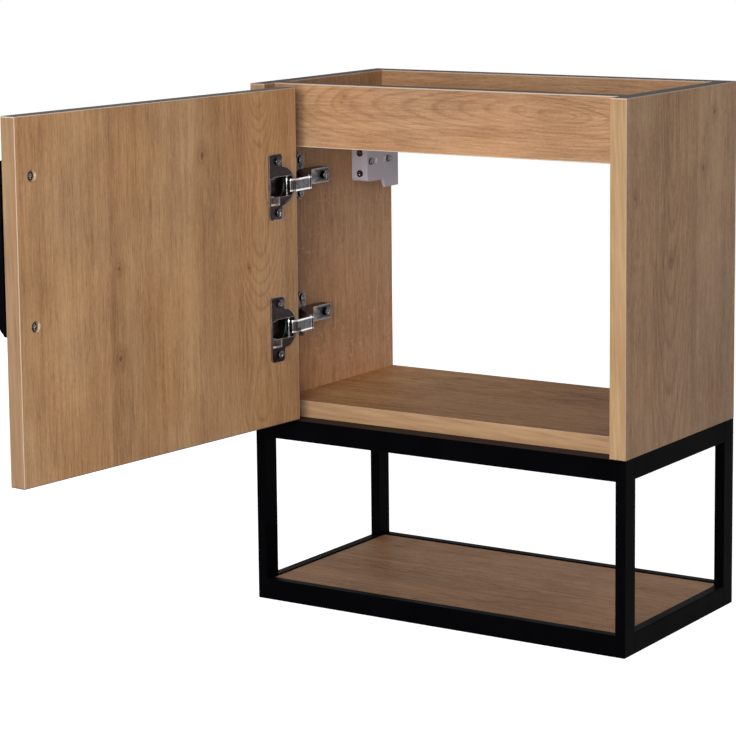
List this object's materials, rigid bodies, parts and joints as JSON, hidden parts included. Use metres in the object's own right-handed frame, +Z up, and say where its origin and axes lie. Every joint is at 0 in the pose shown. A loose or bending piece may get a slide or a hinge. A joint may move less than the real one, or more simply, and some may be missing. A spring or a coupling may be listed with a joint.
{
  "type": "wall-hung vanity unit",
  "caption": "Narrow wall-hung vanity cabinet: oak carcass with an open top and back, one inset side-hung door, and a black tube frame with a low shelf below.",
  "frame": {"origin": "middle of the back rail's rear face, which lies on the wall", "axes": "+Y into the wall, +Z up, +X to the right as seen from the front"},
  "size_m": [0.4185, 0.5839, 0.5],
  "materials": {
    "oak_upright": "oak decor, upright grain, matt",
    "oak_level": "oak decor, level grain, matt",
    "oak_band": "oak edge band, matt",
    "beech": "raw",
    "black_steel": "black powder coat, satin",
    "dark_nickel": "dark nickel plate",
    "chrome": "bright",
    "bright_steel": "zinc plated",
    "black_screw": "black zinc",
    "grey_plastic": "moulded, satin"
  },
  "bodies": {
    "cabinet": {"side_panel_left": "oak_upright", "side_panel_right": "oak_upright", "bottom_panel": "oak_level", "front_rail": "oak_level", "back_rail": "oak_level", "side_edging_left": "oak_band", "side_edging_right": "oak_band", "bottom_edging": "oak_band", "front_rail_edging": "oak_band", "dowels": "beech", "cam_bolts": "bright_steel", "cam_locks": "bright_steel", "hinge_arm_upper": "dark_nickel", "hinge_arm_lower": "dark_nickel", "arm_pins": "bright_steel", "arm_screws": "bright_steel", "mounting_plate_upper": "dark_nickel", "mounting_plate_lower": "dark_nickel", "plate_screws": "bright_steel", "hanger_body_left": "grey_plastic", "hanger_body_right": "grey_plastic", "hanger_fixing_screws": "bright_steel", "hanger_adjusters": "bright_steel", "post_front_left": "black_steel", "post_front_right": "black_steel", "post_rear_left": "black_steel", "post_rear_right": "black_steel", "lower_tube_front": "black_steel", "lower_tube_rear": "black_steel", "lower_tube_left": "black_steel", "lower_tube_right": "black_steel", "upper_tube_front": "black_steel", "upper_tube_rear": "black_steel", "upper_tube_left": "black_steel", "upper_tube_right": "black_steel", "frame_screws": "black_screw", "shelf_board": "oak_level", "shelf_edging": "oak_band", "shelf_tabs": "black_steel", "shelf_screws": "black_screw"},
    "hinge_links": {"hinge_link_upper": "chrome", "hinge_link_lower": "chrome"},
    "door": {"door_panel": "oak_upright", "door_edging": "oak_band", "handle": "black_steel", "handle_screws": "bright_steel", "hinge_cup_upper": "dark_nickel", "hinge_cup_lower": "dark_nickel", "cup_screws": "bright_steel", "cup_pins": "bright_steel"},
    "hook_left": {"hanger_hook_left": "bright_steel"},
    "hook_right": {"hanger_hook_right": "bright_steel"}
  },
  "joints": [
    {"name": "link_pivot", "type": "hinge", "parent": "cabinet", "child": "hinge_links", "pos_m": [-0.1458, -0.2024, 0], "axis": [0, 0, 1], "range_deg": [-63.4, 0]},
    {"name": "door_swing", "type": "hinge", "parent": "hinge_links", "child": "door", "pos_m": [-0.15252, -0.22968, 0], "axis": [0, 0, 1], "range_deg": [0, 158.4]},
    {"name": "hook_left_height", "type": "slide", "parent": "cabinet", "child": "hook_left", "axis": [0, 0, 1], "range_m": [-0.008, 0.002]},
    {"name": "hook_right_height", "type": "slide", "parent": "cabinet", "child": "hook_right", "axis": [0, 0, 1], "range_m": [-0.008, 0.002]}
  ],
  "couplings": [
    {"joint": "link_pivot", "follows": "door_swing", "ratio": -0.40025}
  ]
}
